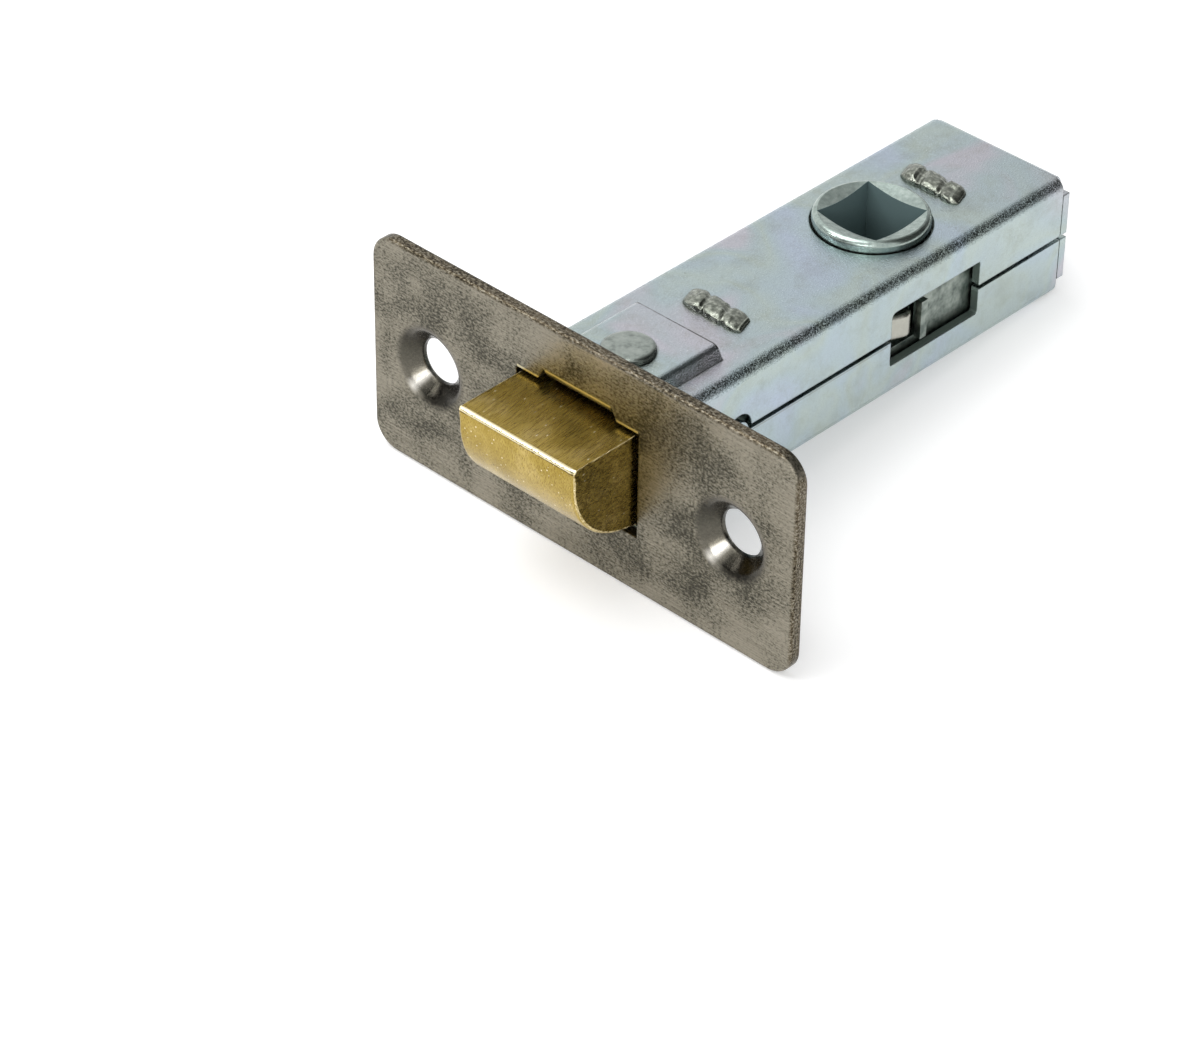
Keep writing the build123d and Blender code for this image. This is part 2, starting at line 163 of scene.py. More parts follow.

# A broken dark line of painted shade along the sheared rear edge of the raised pocket, where the step falls
# away
axes = add(tree, "ShaderNodeSeparateXYZ", {"Vector": place})
near_edge = add(tree, "ShaderNodeMath", {
    0: axes.outputs["Y"], 1: POCKET_EDGE_MM * MM, 2: EDGE_SHADE_WIDTH_MM * MM}, operation="COMPARE")
raised = add(tree, "ShaderNodeMath", {
    0: axes.outputs["Z"], 1: POCKET_FROM_MM * MM}, operation="GREATER_THAN")
edge_shade_line = add(tree, "ShaderNodeMath", {
    0: near_edge.outputs[0], 1: raised.outputs[0]}, operation="MULTIPLY")
line_breaks = add(tree, "ShaderNodeMapRange", {
    "Value": dirt.outputs["Fac"], "From Min": 0.4, "From Max": 0.55})
broken = add(tree, "ShaderNodeMath", {
    0: edge_shade_line.outputs[0], 1: line_breaks.outputs[0]}, operation="MULTIPLY")
lined = add(tree, "ShaderNodeMix", {
    "Factor": broken.outputs[0], "A": crevice_shaded.outputs["Result"], "B": linear("#2e2d27")}, data_type="RGBA")

along = add(tree, "ShaderNodeMapping", {
    "Vector": place, "Rotation": (0.0, 0.0, math.radians(14)),
    "Scale": (per_mm(SCRATCH_WIDTH_MM), per_mm(SCRATCH_LENGTH_MM), per_mm(SCRATCH_WIDTH_MM))})
scratches = add(tree, "ShaderNodeTexNoise", {"Vector": along.outputs[0], "Scale": 1.0, "Detail": 1.0})
rough = add(tree, "ShaderNodeMapRange", {
    "Value": grain.outputs["Fac"], "From Min": 0.3, "From Max": 0.7, "To Min": 0.16, "To Max": 0.28})

# The walls' sheared faces, seen in the side windows, are matt where the sheet tore
depth_in = add(tree, "ShaderNodeMath", {0: axes.outputs["X"]}, operation="ABSOLUTE")
torn_edge = add(tree, "ShaderNodeMath", {
    0: depth_in.outputs[0], 1: SHEARED_FACE_MM[0] * MM, 2: SHEARED_FACE_MM[1] * MM}, operation="COMPARE")
height = add(tree, "ShaderNodeMath", {0: axes.outputs["Z"]}, operation="ABSOLUTE")
low_down = add(tree, "ShaderNodeMath", {
    0: height.outputs[0], 1: SHEARED_HEIGHT_MM[0] * MM, 2: SHEARED_HEIGHT_MM[1] * MM}, operation="COMPARE")
by_hub = add(tree, "ShaderNodeMath", {
    0: axes.outputs["Y"], 1: WINDOW_SPAN_MM[0] * MM, 2: WINDOW_SPAN_MM[1] * MM}, operation="COMPARE")
in_wall = add(tree, "ShaderNodeMath", {
    0: torn_edge.outputs[0], 1: low_down.outputs[0]}, operation="MULTIPLY")
sheared = add(tree, "ShaderNodeMath", {0: in_wall.outputs[0], 1: by_hub.outputs[0]}, operation="MULTIPLY")
torn_tint = add(tree, "ShaderNodeMix", {
    "Factor": sheared.outputs[0], "A": lined.outputs["Result"], "B": linear("#75837c")}, data_type="RGBA")

# The press has left a faint brown witness line under the seam, ahead of the window
under_seam = add(tree, "ShaderNodeMath", {
    0: axes.outputs["Z"], 1: WITNESS_LINE_MM[0] * MM, 2: WITNESS_LINE_MM[1] * MM}, operation="COMPARE")
ahead = add(tree, "ShaderNodeMath", {0: axes.outputs["Y"], 1: WITNESS_END_MM * MM}, operation="LESS_THAN")
witness = add(tree, "ShaderNodeMath", {0: under_seam.outputs[0], 1: ahead.outputs[0]}, operation="MULTIPLY")
faint = add(tree, "ShaderNodeMath", {0: witness.outputs[0], 1: 0.55}, operation="MULTIPLY")
witnessed = add(tree, "ShaderNodeMix", {
    "Factor": faint.outputs[0], "A": torn_tint.outputs["Result"], "B": linear("#77766c")}, data_type="RGBA")
tree.links.new(witnessed.outputs["Result"], shader.inputs["Base Color"])
metal = add(tree, "ShaderNodeMapRange", {"Value": sheared.outputs[0], "To Min": 1.0, "To Max": 0.55})
tree.links.new(metal.outputs[0], shader.inputs["Metallic"])
dull = add(tree, "ShaderNodeMath", {
    0: sheared.outputs[0], 1: 0.3, 2: rough.outputs[0]}, operation="MULTIPLY_ADD")

# Folding has opened the plating's grain along the bends, so they sparkle
out_by = add(tree, "ShaderNodeMath", {
    0: depth_in.outputs[0], 1: FOLD_FROM_MM[0] * MM}, operation="GREATER_THAN")
up_by = add(tree, "ShaderNodeMath", {
    0: height.outputs[0], 1: FOLD_FROM_MM[1] * MM}, operation="GREATER_THAN")
at_fold = add(tree, "ShaderNodeMath", {0: out_by.outputs[0], 1: up_by.outputs[0]}, operation="MULTIPLY")
opened = add(tree, "ShaderNodeMapRange", {
    "Value": grain.outputs["Fac"], "From Min": 0.5, "From Max": 0.6, "To Min": 0.0, "To Max": 0.5})
sparkle = add(tree, "ShaderNodeMath", {0: at_fold.outputs[0], 1: opened.outputs[0]}, operation="MULTIPLY")
folded_rough = add(tree, "ShaderNodeMath", {0: dull.outputs[0], 1: sparkle.outputs[0]}, operation="ADD")
tree.links.new(folded_rough.outputs[0], shader.inputs["Roughness"])
folded = add(tree, "ShaderNodeBevel", {"Radius": SOFT_FOLD_MM * MM}, samples=6)
scratch_bump = add(tree, "ShaderNodeBump", {
    "Height": scratches.outputs["Fac"], "Strength": 0.25, "Distance": 0.004 * MM,
    "Normal": folded.outputs[0]})
pit_bump = add(tree, "ShaderNodeBump", {
    "Height": pit_mask.outputs[0], "Strength": 1.0, "Distance": 0.03 * MM,
    "Normal": scratch_bump.outputs[0]}, invert=True)
grain_bump = add(tree, "ShaderNodeBump", {
    "Height": grain.outputs["Fac"], "Strength": 1.0, "Distance": 0.042 * MM, "Normal": pit_bump.outputs[0]})
tree.links.new(grain_bump.outputs[0], shader.inputs["Normal"])


def dress(node_name, material, edge_mm, segments=2):
    """Gives a frame node its material, and breaks its sharp edges as tumbling or plating does."""
    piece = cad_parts[node_name]
    piece.data.materials.clear()
    piece.data.materials.append(material)
    piece.data.shade_smooth()
    for name in ("sharp_edge", "custom_normal"):
        if name in piece.data.attributes:
            piece.data.attributes.remove(piece.data.attributes[name])
    weld = piece.modifiers.new("weld", "WELD")
    weld.merge_threshold = 0.001 * MM
    flatten = piece.modifiers.new("flat faces", "DECIMATE")
    flatten.decimate_type = "DISSOLVE"
    flatten.angle_limit = math.radians(0.6)
    edges = piece.modifiers.new("broken edges", "BEVEL")
    edges.width = edge_mm * MM
    edges.segments = segments
    edges.limit_method = "ANGLE"
    edges.angle_limit = math.radians(32)
    edges.miter_outer = "MITER_ARC"
    piece.modifiers.new("shading", "WEIGHTED_NORMAL")


SHEARED_EDGE_MM = 0.07
for shell in ("upper_shell", "lower_shell"):
    dress(shell, bright_zinc, SHEARED_EDGE_MM)


# Staked pillars
# Flat steel pillars tie the two shells together. Their tenons come through slots in the case, and a
# three-lobed punch has spread each end over it, which leaves bright, struck facets.

PILLAR_BODY_MM = (11.0, 2.8, 12.3)
TENON_MM = (7.0, 2.2)
HEAD_LENGTH_MM = 8.0
HEAD_WIDTH_MM = 3.2
HEAD_HEIGHT_MM = 0.88
HEAD_STANDS_MM = 0.9
PIP_RADIUS_MM = 2.7
PIP_LENGTH_MM = 1.7
PIP_AHEAD_MM = 2.05
NICKS_MM = (-1.35, 1.4)
NICK_REACH_MM = 0.26
NICK_SKEW_MM = 0.15
HEAD_SKEW = 0.32
HEAD_END_MM = 1.3
HAMMER_MARK_MM = 0.5

staked_steel, tree, shader = new_material("zinc_plated_steel_struck_by_the_staking_punch")
place = add(tree, "ShaderNodeTexCoord").outputs["Object"]
hammer = add(tree, "ShaderNodeTexNoise", {
    "Vector": place, "Scale": per_mm(HAMMER_MARK_MM), "Detail": 3.0, "Roughness": 0.6})
worn = ramp(tree, hammer.outputs["Fac"], [(0.36, "#6a6f67"), (0.52, "#878b81"), (0.64, "#a7aba1")])
tree.links.new(worn, shader.inputs["Base Color"])
shader.inputs["Roughness"].default_value = 0.27
hammer_bump = add(tree, "ShaderNodeBump", {
    "Height": hammer.outputs["Fac"], "Strength": 1.0, "Distance": 0.04 * MM})
tree.links.new(hammer_bump.outputs[0], shader.inputs["Normal"])


def head_surface(u, v, seed):
    """A point on a staked head, from u along it and v across it, both from -1 to 1."""
    x = HEAD_LENGTH_MM / 2 * math.sin(u * math.pi / 2)
    nick = sum(math.exp(-((x + NICK_SKEW_MM * v - n) / NICK_REACH_MM) ** 2) for n in NICKS_MM)
    end = max(0.0, abs(x) - HEAD_LENGTH_MM / 2 + HEAD_END_MM) / HEAD_END_MM
    wander = noise.noise(Vector((x * 0.9, seed, 0)))
    half_width = HEAD_WIDTH_MM / 2 * (1 - 0.2 * nick - 0.34 * end ** 2 + 0.08 * wander)
    y = half_width * math.sin(v * math.pi / 2)
    height = HEAD_HEIGHT_MM * (1 - 0.22 * nick)
    dome = math.cos(u * math.pi / 2) ** 0.78 * math.cos(v * math.pi / 2) ** 0.45
    struck = noise.cell(Vector((x * 0.8 + seed, y * 0.55 + seed, seed)))
    tilt = 0.09 * (struck - 0.5) * (x + y)
    dents = 0.05 * noise.noise(Vector((x * 1.7, y * 1.7, seed)))
    return x - HEAD_SKEW * y, y, max(0.0, height * dome + dome * (tilt + dents))


def staked_head(mesh, base, up, seed, along=56, across=22):
    """Adds one spread tenon end as a closed skin that sits on the case at the height base."""
    rows = []
    for i in range(along + 1):
        row = []
        for j in range(across + 1):
            x, y, z = head_surface(2 * i / along - 1, 2 * j / across - 1, seed)
            row.append(mesh.verts.new((x * MM, y * MM, (base + up * z) * MM)))
        rows.append(row)
    for i in range(along):
        for j in range(across):
            mesh.faces.new((rows[i][j], rows[i + 1][j], rows[i + 1][j + 1], rows[i][j + 1]))
    rim = rows[0] + [row[-1] for row in rows[1:]] + rows[-1][-2::-1] + [row[0] for row in rows[-2:0:-1]]
    sole = [mesh.verts.new((v.co.x, v.co.y, (base - up * 0.05) * MM)) for v in rim]
    for k, v in enumerate(rim):
        following = (k + 1) % len(rim)
        mesh.faces.new((v, rim[following], sole[following], sole[k]))
    mesh.faces.new(sole)


def block(mesh, size, centre=(0, 0, 0)):
    """Adds a rectangular block, in millimetres."""
    made = bmesh.ops.create_cube(mesh, size=1)["verts"]
    bmesh.ops.scale(mesh, vec=[s * MM for s in size], verts=made)
    bmesh.ops.translate(mesh, vec=[c * MM for c in centre], verts=made)


def round_bar(mesh, radius, length, centre, segments):
    """Adds a round bar that lies along Y, in millimetres."""
    bmesh.ops.create_cone(
        mesh, cap_ends=True, segments=segments, radius1=radius * MM, radius2=radius * MM, depth=length * MM)
    along_y = Vector((0, 0, 1)).rotation_difference(Vector((0, 1, 0))).to_matrix()
    bmesh.ops.rotate(mesh, cent=(0, 0, 0), matrix=along_y, verts=mesh.verts)
    bmesh.ops.translate(mesh, vec=[c * MM for c in centre], verts=mesh.verts)


def to_object(mesh, name, material):
    """Turns a working mesh into a smooth shaded object with its material."""
    bmesh.ops.recalc_face_normals(mesh, faces=mesh.faces)
    data = bpy.data.meshes.new(name)
    mesh.to_mesh(data)
    mesh.free()
    data.shade_smooth()
    data.materials.append(material)
    piece = bpy.data.objects.new(name, data)
    bpy.context.scene.collection.objects.link(piece)
    return piece


def combine(piece, tools, operation):
    """Joins tool objects to the piece or cuts them from it, and deletes them."""
    for tool in tools:
        change = piece.modifiers.new(operation.lower(), "BOOLEAN")
        change.operation = operation
        change.solver = "EXACT"
        change.object = tool
    final = bpy.data.meshes.new_from_object(piece.evaluated_get(bpy.context.evaluated_depsgraph_get()))
    piece.modifiers.clear()
    piece.data = final
    for tool in tools:
        bpy.data.objects.remove(tool)


def staked_pillar(name, node, seed, pip):
    """The pillar of one frame node, with its own two struck heads."""
    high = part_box(node)[1]
    roof = high.z / MM - HEAD_STANDS_MM
    body = bmesh.new()
    block(body, PILLAR_BODY_MM)
    piece = to_object(body, name, staked_steel)
    tenon = bmesh.new()
    block(tenon, (*TENON_MM, 2 * roof))
    tools = [to_object(tenon, "tenon", staked_steel)]
    for up in (1, -1):
        head = bmesh.new()
        staked_head(head, up * roof, up, seed + up)
        tools.append(to_object(head, "head", staked_steel))
    if pip:
        stub = bmesh.new()
        round_bar(stub, PIP_RADIUS_MM, PIP_LENGTH_MM, (0, -PIP_AHEAD_MM, 0), 48)
        tools.append(to_object(stub, "pip", staked_steel))
    combine(piece, tools, "UNION")
    middle = high.y - PILLAR_BODY_MM[1] / 2 * MM
    for v in piece.data.vertices:
        v.co.y += middle
    piece.modifiers.new("shading", "WEIGHTED_NORMAL")
    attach(piece, "case")
    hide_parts(node)


staked_pillar("front_pillar_staked", "front_pillar", 3.1, True)
staked_pillar("rear_pillar_staked", "rear_pillar", 8.7, False)


# Follower
# The hub that the spindle turns: a zinc alloy casting, barrel polished and plated with the case. Its
# journal stands out of each shell with a rounded rim, and the square socket has dished mouths.

BACKSET_MM = 44.0
SOCKET_HALF_MM = 4.05
NOSE_REACH_MM = 7.3
NOSE_ROUND_MM = 0.6
CASTING_SKIN_MM = 0.7

plated_casting, tree, shader = new_material("zinc_alloy_casting_barrel_polished")
place = add(tree, "ShaderNodeTexCoord").outputs["Object"]
skin = add(tree, "ShaderNodeTexNoise", {
    "Vector": place, "Scale": per_mm(CASTING_SKIN_MM), "Detail": 4.0, "Roughness": 0.6})
tint = ramp(tree, skin.outputs["Fac"], [(0.35, "#93a09b"), (0.5, "#a2b0aa"), (0.66, "#b3bfb9")])

# The polishing doesn't reach the socket's walls, which stay dull and bluish from the casting. The lobes'
# noses have rubbed through to the warmer alloy
centred = add(tree, "ShaderNodeVectorMath", {
    0: place, 1: (0.0, BACKSET_MM * MM, 0.0)}, operation="SUBTRACT")
across = add(tree, "ShaderNodeSeparateXYZ", {"Vector": centred.outputs[0]})
reach_x = add(tree, "ShaderNodeMath", {0: across.outputs["X"]}, operation="ABSOLUTE")
reach_y = add(tree, "ShaderNodeMath", {0: across.outputs["Y"]}, operation="ABSOLUTE")
reach = add(tree, "ShaderNodeMath", {0: reach_x.outputs[0], 1: reach_y.outputs[0]}, operation="MAXIMUM")
inside = add(tree, "ShaderNodeMath", {
    0: reach.outputs[0], 1: (SOCKET_HALF_MM + 0.02) * MM}, operation="LESS_THAN")
nose = add(tree, "ShaderNodeMath", {0: reach_x.outputs[0], 1: NOSE_REACH_MM * MM}, operation="GREATER_THAN")
worn_nose = add(tree, "ShaderNodeMath", {0: nose.outputs[0], 1: 0.75}, operation="MULTIPLY")
rubbed = add(tree, "ShaderNodeMix", {
    "Factor": worn_nose.outputs[0], "A": tint, "B": linear("#b3aea3")}, data_type="RGBA")
walls = add(tree, "ShaderNodeMix", {
    "Factor": inside.outputs[0], "A": rubbed.outputs["Result"], "B": linear("#667c7d")}, data_type="RGBA")
tree.links.new(walls.outputs["Result"], shader.inputs["Base Color"])
metal = add(tree, "ShaderNodeMapRange", {"Value": inside.outputs[0], "To Min": 1.0, "To Max": 0.0})
tree.links.new(metal.outputs[0], shader.inputs["Metallic"])
dull = add(tree, "ShaderNodeMapRange", {"Value": inside.outputs[0], "To Min": 0.27, "To Max": 0.8})
tree.links.new(dull.outputs[0], shader.inputs["Roughness"])
rounded = add(tree, "ShaderNodeBevel", {"Radius": NOSE_ROUND_MM * MM}, samples=8)
facing = add(tree, "ShaderNodeNewGeometry").outputs["Normal"]
softened = add(tree, "ShaderNodeMix", {
    "Factor": nose.outputs[0], 4: facing, 5: rounded.outputs[0]}, data_type="VECTOR")
skin_bump = add(tree, "ShaderNodeBump", {
    "Height": skin.outputs["Fac"], "Strength": 0.5, "Distance": 0.012 * MM, "Normal": softened.outputs[1]})
tree.links.new(skin_bump.outputs[0], shader.inputs["Normal"])
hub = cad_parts["follower"]
hub.data.materials.clear()
hub.data.materials.append(plated_casting)


# Tail and its rivets
# A stirrup of plain cold-rolled steel that the bolt pulls and the follower pushes. It isn't plated, so
# it shows grey and mottled through the side windows, with its sheared edges broken.

SCALE_MARK_MM = 1.1
RIVET_EDGE_MM = 0.05

raw_steel, tree, shader = new_material("cold_rolled_steel_oiled")
place = add(tree, "ShaderNodeTexCoord").outputs["Object"]
scale_marks = add(tree, "ShaderNodeTexNoise", {
    "Vector": place, "Scale": per_mm(SCALE_MARK_MM), "Detail": 4.0, "Roughness": 0.65})
oiled = ramp(tree, scale_marks.outputs["Fac"], [(0.35, "#5f6863"), (0.52, "#858e87"), (0.66, "#9aa29a")])
tree.links.new(oiled, shader.inputs["Base Color"])
shader.inputs["Roughness"].default_value = 0.36
dress("tail_stirrup", raw_steel, SHEARED_EDGE_MM)
for rivet in ("tail_rivet_left", "tail_rivet_right"):
    dress(rivet, raw_steel, RIVET_EDGE_MM)


# Bolt
# Drawn brass, sawn and linished on a belt. Fine lines run round its profile, and the belt has left
# a slightly ragged edge where the top meets the nose, which widens at one corner. A highlight is painted
# along it.

BOLT_LAND_MM = 2.1
BOLT_NOSE_RADIUS_MM = 8.8
BOLT_RAMP = math.radians(12)
BOLT_EDGE_MM = 0.3
BOLT_SIDE_ROUND_MM = 0.4
BOLT_TOP_ROUND_MM = 0.1
SPRING_BORE_MM = (8.6, 11.7)
TAIL_RIVET_MM = (2.2, 5.6, 3.2)
TAIL_RIVET_DEPTH_MM = 3.5
LINISH_WIDTH_MM = 0.06
LINISH_LENGTH_MM = 1.6
LINISH_DEPTH_MM = 0.3
FLECK_MM = 0.55
TARNISH_MM = 3.5
BOLT_GROOVE_MM = 0.08
BURR_HEIGHT_MM = 0.035
BURR_MM = (7.84, 0.05)
WORN_BACK_MM = (0.48, 0.4)
WORN_DOWN_MM = (0.35, 0.29)
HOLLOW_DOWN_MM = (0.42, 0.055)

low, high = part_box("bolt_head")
half = high.x / MM
front, rear, top = low.y / MM, high.y / MM, high.z / MM

linished_brass, tree, shader = new_material("drawn_brass_linished")
place = add(tree, "ShaderNodeTexCoord").outputs["Object"]
belt = add(tree, "ShaderNodeMapping", {"Vector": place, "Rotation": (0.0, 0.0, math.radians(-6))})
belt_lines = add(tree, "ShaderNodeMapping", {
    "Vector": belt.outputs[0],
    "Scale": (per_mm(LINISH_WIDTH_MM), per_mm(LINISH_LENGTH_MM), per_mm(LINISH_DEPTH_MM))})
lines = add(tree, "ShaderNodeTexNoise", {
    "Vector": belt_lines.outputs[0], "Scale": 1.0, "Detail": 3.0, "Roughness": 0.6})
tarnish = add(tree, "ShaderNodeTexNoise", {"Vector": place, "Scale": per_mm(TARNISH_MM), "Detail": 3.0})
warm = ramp(tree, tarnish.outputs["Fac"], [(0.35, "#ad9548"), (0.55, "#bda559"), (0.7, "#cbb471")])
lined = add(tree, "ShaderNodeMix", {
    "Factor": 0.6, "A": warm, "B": ramp(tree, lines.outputs["Fac"], [(0.35, "#8d7a52"), (0.6, "#ffffff")])},
    data_type="RGBA", blend_type="MULTIPLY")

# Flecks where the belt tore the brass, a few of them dark with grime
torn_place = add(tree, "ShaderNodeMapping", {
    "Vector": belt.outputs[0], "Scale": (per_mm(FLECK_MM), per_mm(2 * FLECK_MM), per_mm(FLECK_MM))})
torn = add(tree, "ShaderNodeTexVoronoi", {"Vector": torn_place.outputs[0], "Scale": 1.0})
torn_size = add(tree, "ShaderNodeMapRange", {
    "Value": torn.outputs["Distance"], "From Min": 0.07, "From Max": 0.19, "To Min": 1.0, "To Max": 0.0})
bright_pick = add(tree, "ShaderNodeMath", {0: torn.outputs["Color"], 1: 0.6}, operation="GREATER_THAN")
dark_pick = add(tree, "ShaderNodeMath", {0: torn.outputs["Color"], 1: 0.2}, operation="LESS_THAN")
bright_fleck = add(tree, "ShaderNodeMath", {
    0: torn_size.outputs[0], 1: bright_pick.outputs[0]}, operation="MULTIPLY")
dark_fleck = add(tree, "ShaderNodeMath", {
    0: torn_size.outputs[0], 1: dark_pick.outputs[0]}, operation="MULTIPLY")
lit = add(tree, "ShaderNodeMix", {
    "Factor": bright_fleck.outputs[0], "A": lined.outputs["Result"], "B": linear("#fff3cf")},
    data_type="RGBA")
flecked = add(tree, "ShaderNodeMix", {
    "Factor": dark_fleck.outputs[0], "A": lit.outputs["Result"], "B": linear("#6b5a35")}, data_type="RGBA")

# Closing the door has worn the front top edge smooth, and a pale highlight is painted along it, with
# painted shade in the hollow under it
axes = add(tree, "ShaderNodeSeparateXYZ", {"Vector": place})
foremost = add(tree, "ShaderNodeMapRange", {
    "Value": axes.outputs["Y"], "From Min": (front + WORN_BACK_MM[0]) * MM,
    "From Max": (front + WORN_BACK_MM[1]) * MM, "To Min": 0.0, "To Max": 1.0})
uppermost = add(tree, "ShaderNodeMapRange", {
    "Value": axes.outputs["Z"], "From Min": (top - WORN_DOWN_MM[0]) * MM,
    "From Max": (top - WORN_DOWN_MM[1]) * MM, "To Min": 0.0, "To Max": 1.0})
worn_edge_highlight = add(tree, "ShaderNodeMath", {
    0: foremost.outputs[0], 1: uppermost.outputs[0]}, operation="MULTIPLY")
# Painted highlight: the worn front top edge is made pale
highlit_brass = add(tree, "ShaderNodeMix", {
    "Factor": worn_edge_highlight.outputs[0], "A": flecked.outputs["Result"], "B": linear("#efe2b8")},
    data_type="RGBA")
# Painted shade: the hollow under the worn edge is darkened
hollow = add(tree, "ShaderNodeMath", {
    0: axes.outputs["Z"], 1: (top - HOLLOW_DOWN_MM[0]) * MM, 2: HOLLOW_DOWN_MM[1] * MM},
    operation="COMPARE")
hollow_shade = add(tree, "ShaderNodeMath", {0: hollow.outputs[0], 1: foremost.outputs[0]}, operation="MULTIPLY")
grooved = add(tree, "ShaderNodeMix", {
    "Factor": hollow_shade.outputs[0], "A": highlit_brass.outputs["Result"], "B": linear("#574622")},
    data_type="RGBA")

# The burr that the belt left along the sides' edges is rough, and a pale highlight is painted along it
outward = add(tree, "ShaderNodeMath", {0: axes.outputs["X"]}, operation="ABSOLUTE")
rim = add(tree, "ShaderNodeMath", {
    0: outward.outputs[0], 1: BURR_MM[0] * MM, 2: BURR_MM[1] * MM}, operation="COMPARE")
ragged = add(tree, "ShaderNodeMapRange", {
    "Value": lines.outputs["Fac"], "From Min": 0.44, "From Max": 0.6, "To Min": 0.1, "To Max": 0.9})
burr_highlight = add(tree, "ShaderNodeMath", {0: rim.outputs[0], 1: ragged.outputs[0]}, operation="MULTIPLY")
edged = add(tree, "ShaderNodeMix", {
    "Factor": burr_highlight.outputs[0], "A": grooved.outputs["Result"], "B": linear("#f6e8bf")}, data_type="RGBA")
tree.links.new(edged.outputs["Result"], shader.inputs["Base Color"])
line_rough = add(tree, "ShaderNodeMapRange", {
    "Value": lines.outputs["Fac"], "From Min": 0.3, "From Max": 0.7, "To Min": 0.2, "To Max": 0.36})
smoothed = add(tree, "ShaderNodeMath", {
    0: worn_edge_highlight.outputs[0], 1: -0.1, 2: line_rough.outputs[0]}, operation="MULTIPLY_ADD")
torn_rough = add(tree, "ShaderNodeMath", {
    0: burr_highlight.outputs[0], 1: 0.5, 2: smoothed.outputs[0]}, operation="MULTIPLY_ADD")
tree.links.new(torn_rough.outputs[0], shader.inputs["Roughness"])
line_bump = add(tree, "ShaderNodeBump", {
    "Height": lines.outputs["Fac"], "Strength": 0.7, "Distance": 0.012 * MM})
fleck_bump = add(tree, "ShaderNodeBump", {
    "Height": torn_size.outputs[0], "Strength": 0.6, "Distance": 0.02 * MM, "Normal": line_bump.outputs[0]})
tree.links.new(fleck_bump.outputs[0], shader.inputs["Normal"])


def bolt_profile(edge, groove):
    """The bolt's outline in Y and Z, with its front top edge broken by this much and a groove below it."""
    nose_z = top - BOLT_LAND_MM
    centre_y = front + BOLT_NOSE_RADIUS_MM
    steps = 130
    points = [(rear, -top)]
    points += [(rear + (front + edge - rear) * i / steps, top) for i in range(steps + 1)]
    points += [
        (front + edge * 0.4, top - edge * 0.3), (front - groove * 0.4, top - edge),
        (front - groove * 0.4, top - edge - 0.05), (front + groove, top - edge - 0.12),
        (front + groove, top - edge - 0.2), (front, top - edge - 0.33), (front, top - 0.8 * BOLT_LAND_MM)]
    for i in range(29):
        turn = (math.pi / 2 - BOLT_RAMP) * i / 28
        points.append((
            centre_y - BOLT_NOSE_RADIUS_MM * math.cos(turn), nose_z - BOLT_NOSE_RADIUS_MM * math.sin(turn)))
    ramp_y, ramp_z = points[-1]
    points.append((ramp_y + (ramp_z + top) / math.tan(BOLT_RAMP), -top))
    return points


def inward(points, k):
    """The direction into a closed outline at one of its points, long enough to offset both its edges."""
    one = (Vector(points[k]) - Vector(points[k - 1])).normalized()
    two = (Vector(points[(k + 1) % len(points)]) - Vector(points[k])).normalized()
    middle = Vector((-one.y - two.y, one.x + two.x)).normalized()
    return middle / max(0.5, middle.dot(Vector((-one.y, one.x))))


def side_round(y, z):
    """The radius on the bolt's side edges: small and dented along the top, generous round the bevel."""
    dented = BOLT_TOP_ROUND_MM * (1 + 0.9 * noise.noise(Vector((y * 3.1, 2.0, 0.0))))
    return dented + (BOLT_SIDE_ROUND_MM - dented) * min(1.0, (top - z) / 1.2)


turns = [math.pi / 2 * i / 5 for i in range(6)]
inner = half - 1.2 * BOLT_SIDE_ROUND_MM
stations = [(-1, turn) for turn in turns]
stations += [(inner * (2 * i / 110 - 1), None) for i in range(111)]
stations += [(1, turn) for turn in reversed(turns)]
brass = bmesh.new()
rings = []
for station, turn in stations:
    x = station * half if turn is not None else station
    waves = 0.07 * noise.noise(Vector((x * 1.9, 4.0, 0.0)))
    ripples = 0.05 * noise.noise(Vector((x * 5.0, 9.0, 0.0)))
    wavy = waves + ripples
    corner = 0.25 * math.exp(-((half - x) / 0.4) ** 2) - 0.07 * (x + half) / (2 * half)
    groove = BOLT_GROOVE_MM * min(1.0, max(0.0, (half - abs(x)) / 0.6 - 1.0))
    outline = bolt_profile(BOLT_EDGE_MM + wavy + corner, groove)
    ring = []
    for k, (y, z) in enumerate(outline):
        radius = side_round(y, z)
        into = radius * (1 - math.sin(turn)) if turn is not None else 0.0
        across = station * (half - radius * (1 - math.cos(turn))) if turn is not None else station
        step = inward(outline, k) * into
        burr = math.exp(-((half - abs(across)) / 0.12) ** 2) if z > top - 0.01 and y < 0 else 0.0
        dent = BURR_HEIGHT_MM * burr * noise.noise(Vector((y * 4.0, station, 1.0)))
        ring.append(brass.verts.new((across * MM, (y + step.x) * MM, (z + step.y + dent) * MM)))
    rings.append(ring)
for one, two in zip(rings, rings[1:]):
    for k in range(len(one)):
        following = (k + 1) % len(one)
        brass.faces.new((one[k], one[following], two[following], two[k]))
brass.faces.new(rings[0])
brass.faces.new(rings[-1])
bolt = to_object(brass, "bolt_head_linished", linished_brass)


def drill(diameter, depth, x, z):
    """A cutter for a hole from behind the bolt, in millimetres."""
    cutter = bmesh.new()
    round_bar(cutter, diameter / 2, 2 * depth, (x, rear, z), 64)
    return to_object(cutter, "drill", linished_brass)


rivet_diameter, rivet_x, rivet_z = TAIL_RIVET_MM
combine(bolt, [
    drill(*SPRING_BORE_MM, 0, 0),
    drill(rivet_diameter, TAIL_RIVET_DEPTH_MM, -rivet_x, -rivet_z),
    drill(rivet_diameter, TAIL_RIVET_DEPTH_MM, rivet_x, rivet_z)], "DIFFERENCE")
bolt.modifiers.new("shading", "WEIGHTED_NORMAL")
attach(bolt, "bolt")
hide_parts("bolt_head")


